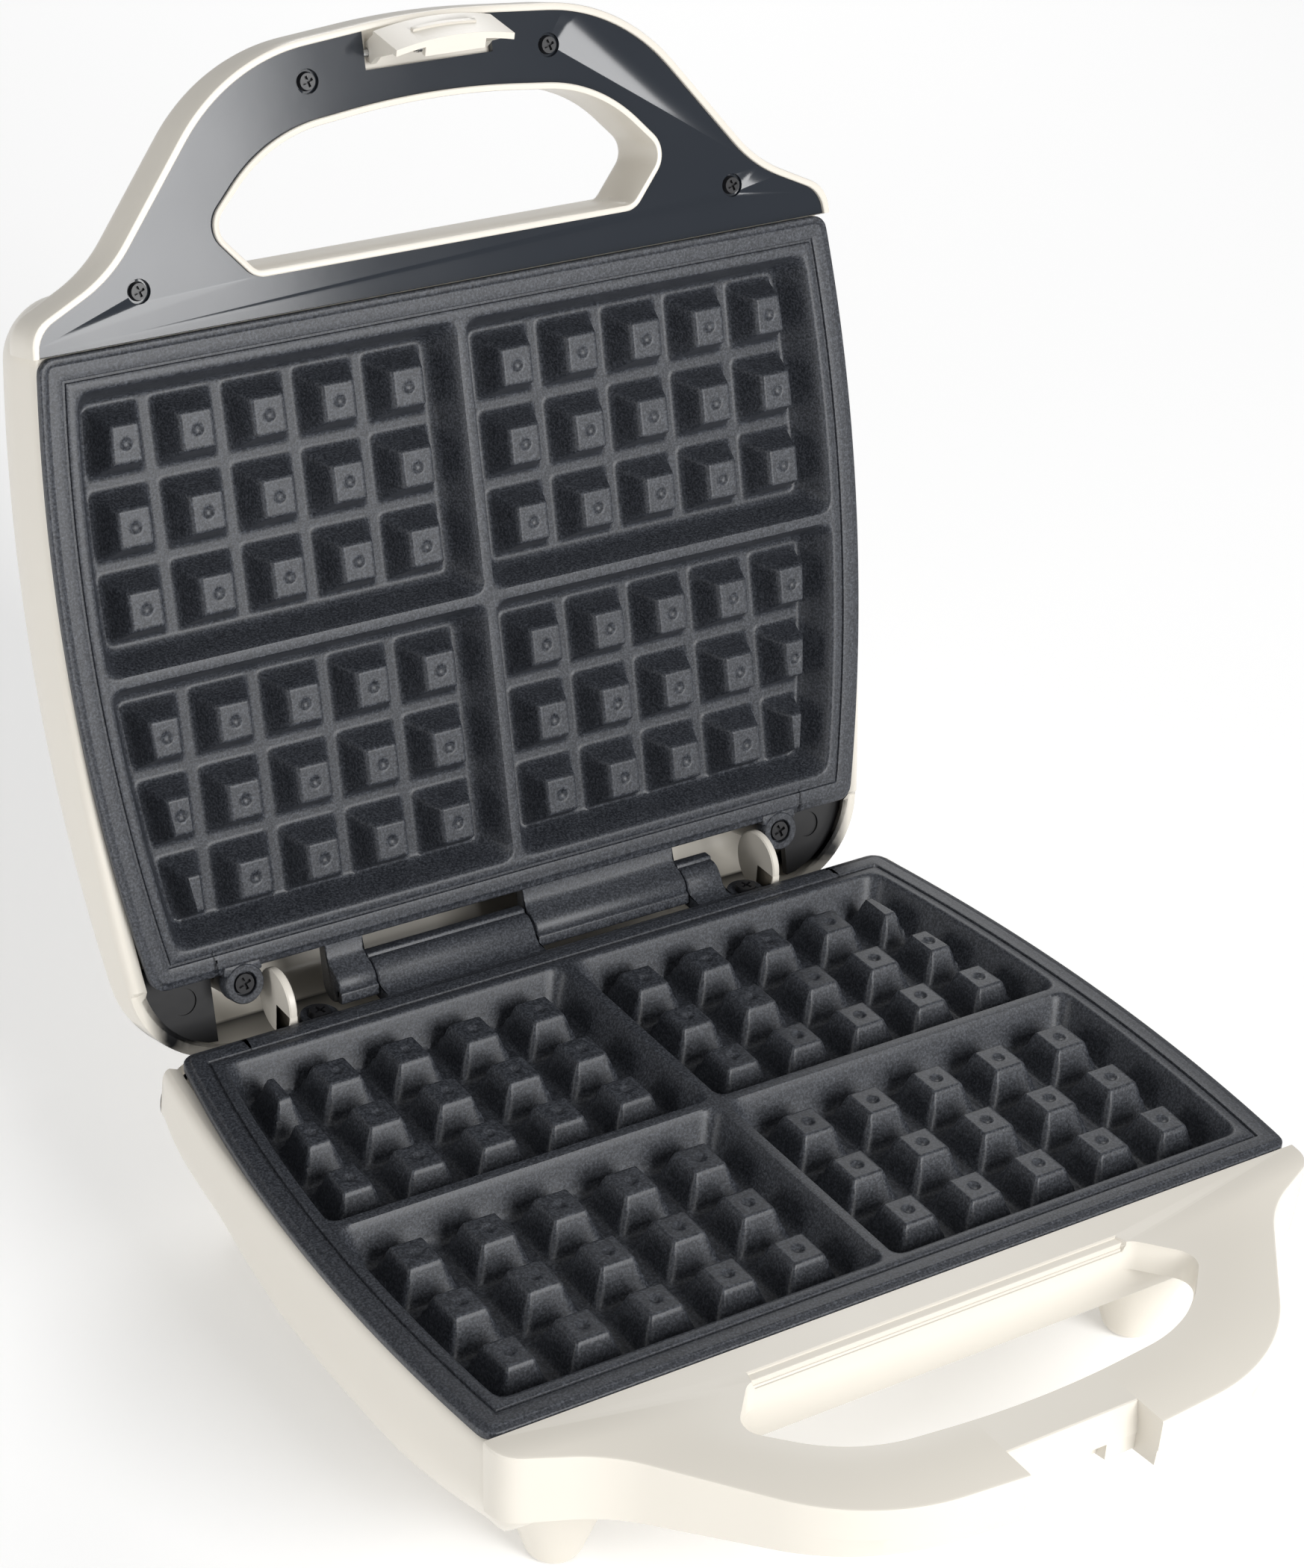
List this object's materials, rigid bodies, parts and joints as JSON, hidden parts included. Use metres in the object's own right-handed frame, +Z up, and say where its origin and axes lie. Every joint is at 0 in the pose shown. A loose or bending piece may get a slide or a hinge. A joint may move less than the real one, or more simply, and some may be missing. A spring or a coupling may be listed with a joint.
{
  "type": "waffle maker",
  "caption": "Open waffle maker: cream housings with looped handles, dark cast plates with pyramid grids, hinged lid, sprung latch and indicator lenses.",
  "frame": {"origin": "on the table, under the middle of the open machine's box", "axes": "+Z up, front (handle side) along -Y, X across along the hinge"},
  "size_m": [0.2634, 0.3639, 0.3215],
  "materials": {
    "cream_plastic": "glossy moulded",
    "foot_rubber": "matt",
    "lower_nonstick": "non-stick coated cast aluminium",
    "dark_screw": "black oxide",
    "element_sheath": "oxidised sheath",
    "reflector_sheet": "rolled",
    "zinc_screw": "zinc plated",
    "sleeve": "glass-fibre sleeve",
    "terminal_body": "moulded",
    "wire_sleeve": "glass-fibre sleeve",
    "gland_rubber": "matt",
    "clamp_plastic": "moulded",
    "steel_pin": "drawn",
    "cream_lid": "glossy moulded",
    "black_plastic": "matt",
    "dark_trim": "glossy",
    "upper_nonstick": "non-stick coated cast aluminium",
    "thermostat_body": "moulded",
    "circuit_board": "laminate",
    "lamp_glass": "clear",
    "red_lens": "clear",
    "green_lens": "clear",
    "spring_steel": "drawn",
    "cream_latch": "glossy moulded"
  },
  "bodies": {
    "base": {"base_housing": "cream_plastic", "foot_pad_front_left": "foot_rubber", "foot_pad_front_right": "foot_rubber", "foot_pad_rear_left": "foot_rubber", "foot_pad_rear_right": "foot_rubber", "lower_plate": "lower_nonstick", "lower_plate_screws": "dark_screw", "lower_element": "element_sheath", "lower_reflector": "reflector_sheet", "lower_reflector_screws": "zinc_screw", "thermal_fuse": "sleeve", "terminal_block": "terminal_body", "lower_wires": "wire_sleeve", "cord_gland": "gland_rubber", "cord_clamp": "clamp_plastic", "cord_clamp_screws": "zinc_screw", "hinge_pin": "steel_pin"},
    "lid": {"lid_housing": "cream_lid", "lid_corner_cover_left": "black_plastic", "lid_corner_cover_right": "black_plastic", "lid_trim": "dark_trim", "trim_screws": "dark_screw", "upper_plate": "upper_nonstick", "upper_plate_screws": "dark_screw", "upper_element": "element_sheath", "upper_reflector": "reflector_sheet", "upper_reflector_screws": "zinc_screw", "thermostat": "thermostat_body", "upper_wires": "wire_sleeve", "lamp_board": "circuit_board", "power_lamp": "lamp_glass", "ready_lamp": "lamp_glass", "power_lens": "red_lens", "ready_lens": "green_lens", "latch_pin": "steel_pin", "latch_spring": "spring_steel"},
    "latch": {"latch": "cream_latch"}
  },
  "joints": [
    {"name": "lid_hinge", "type": "hinge", "parent": "base", "child": "lid", "pos_m": [0, 0.0855, 0.0636], "axis": [1, 0, 0], "range_deg": [0, 105.2]},
    {"name": "latch_pivot", "type": "hinge", "parent": "lid", "child": "latch", "pos_m": [0, 0.15636, 0.31222], "axis": [1, 0, 0], "range_deg": [-17, 0], "stiffness_Nm_per_rad": 0.05}
  ]
}
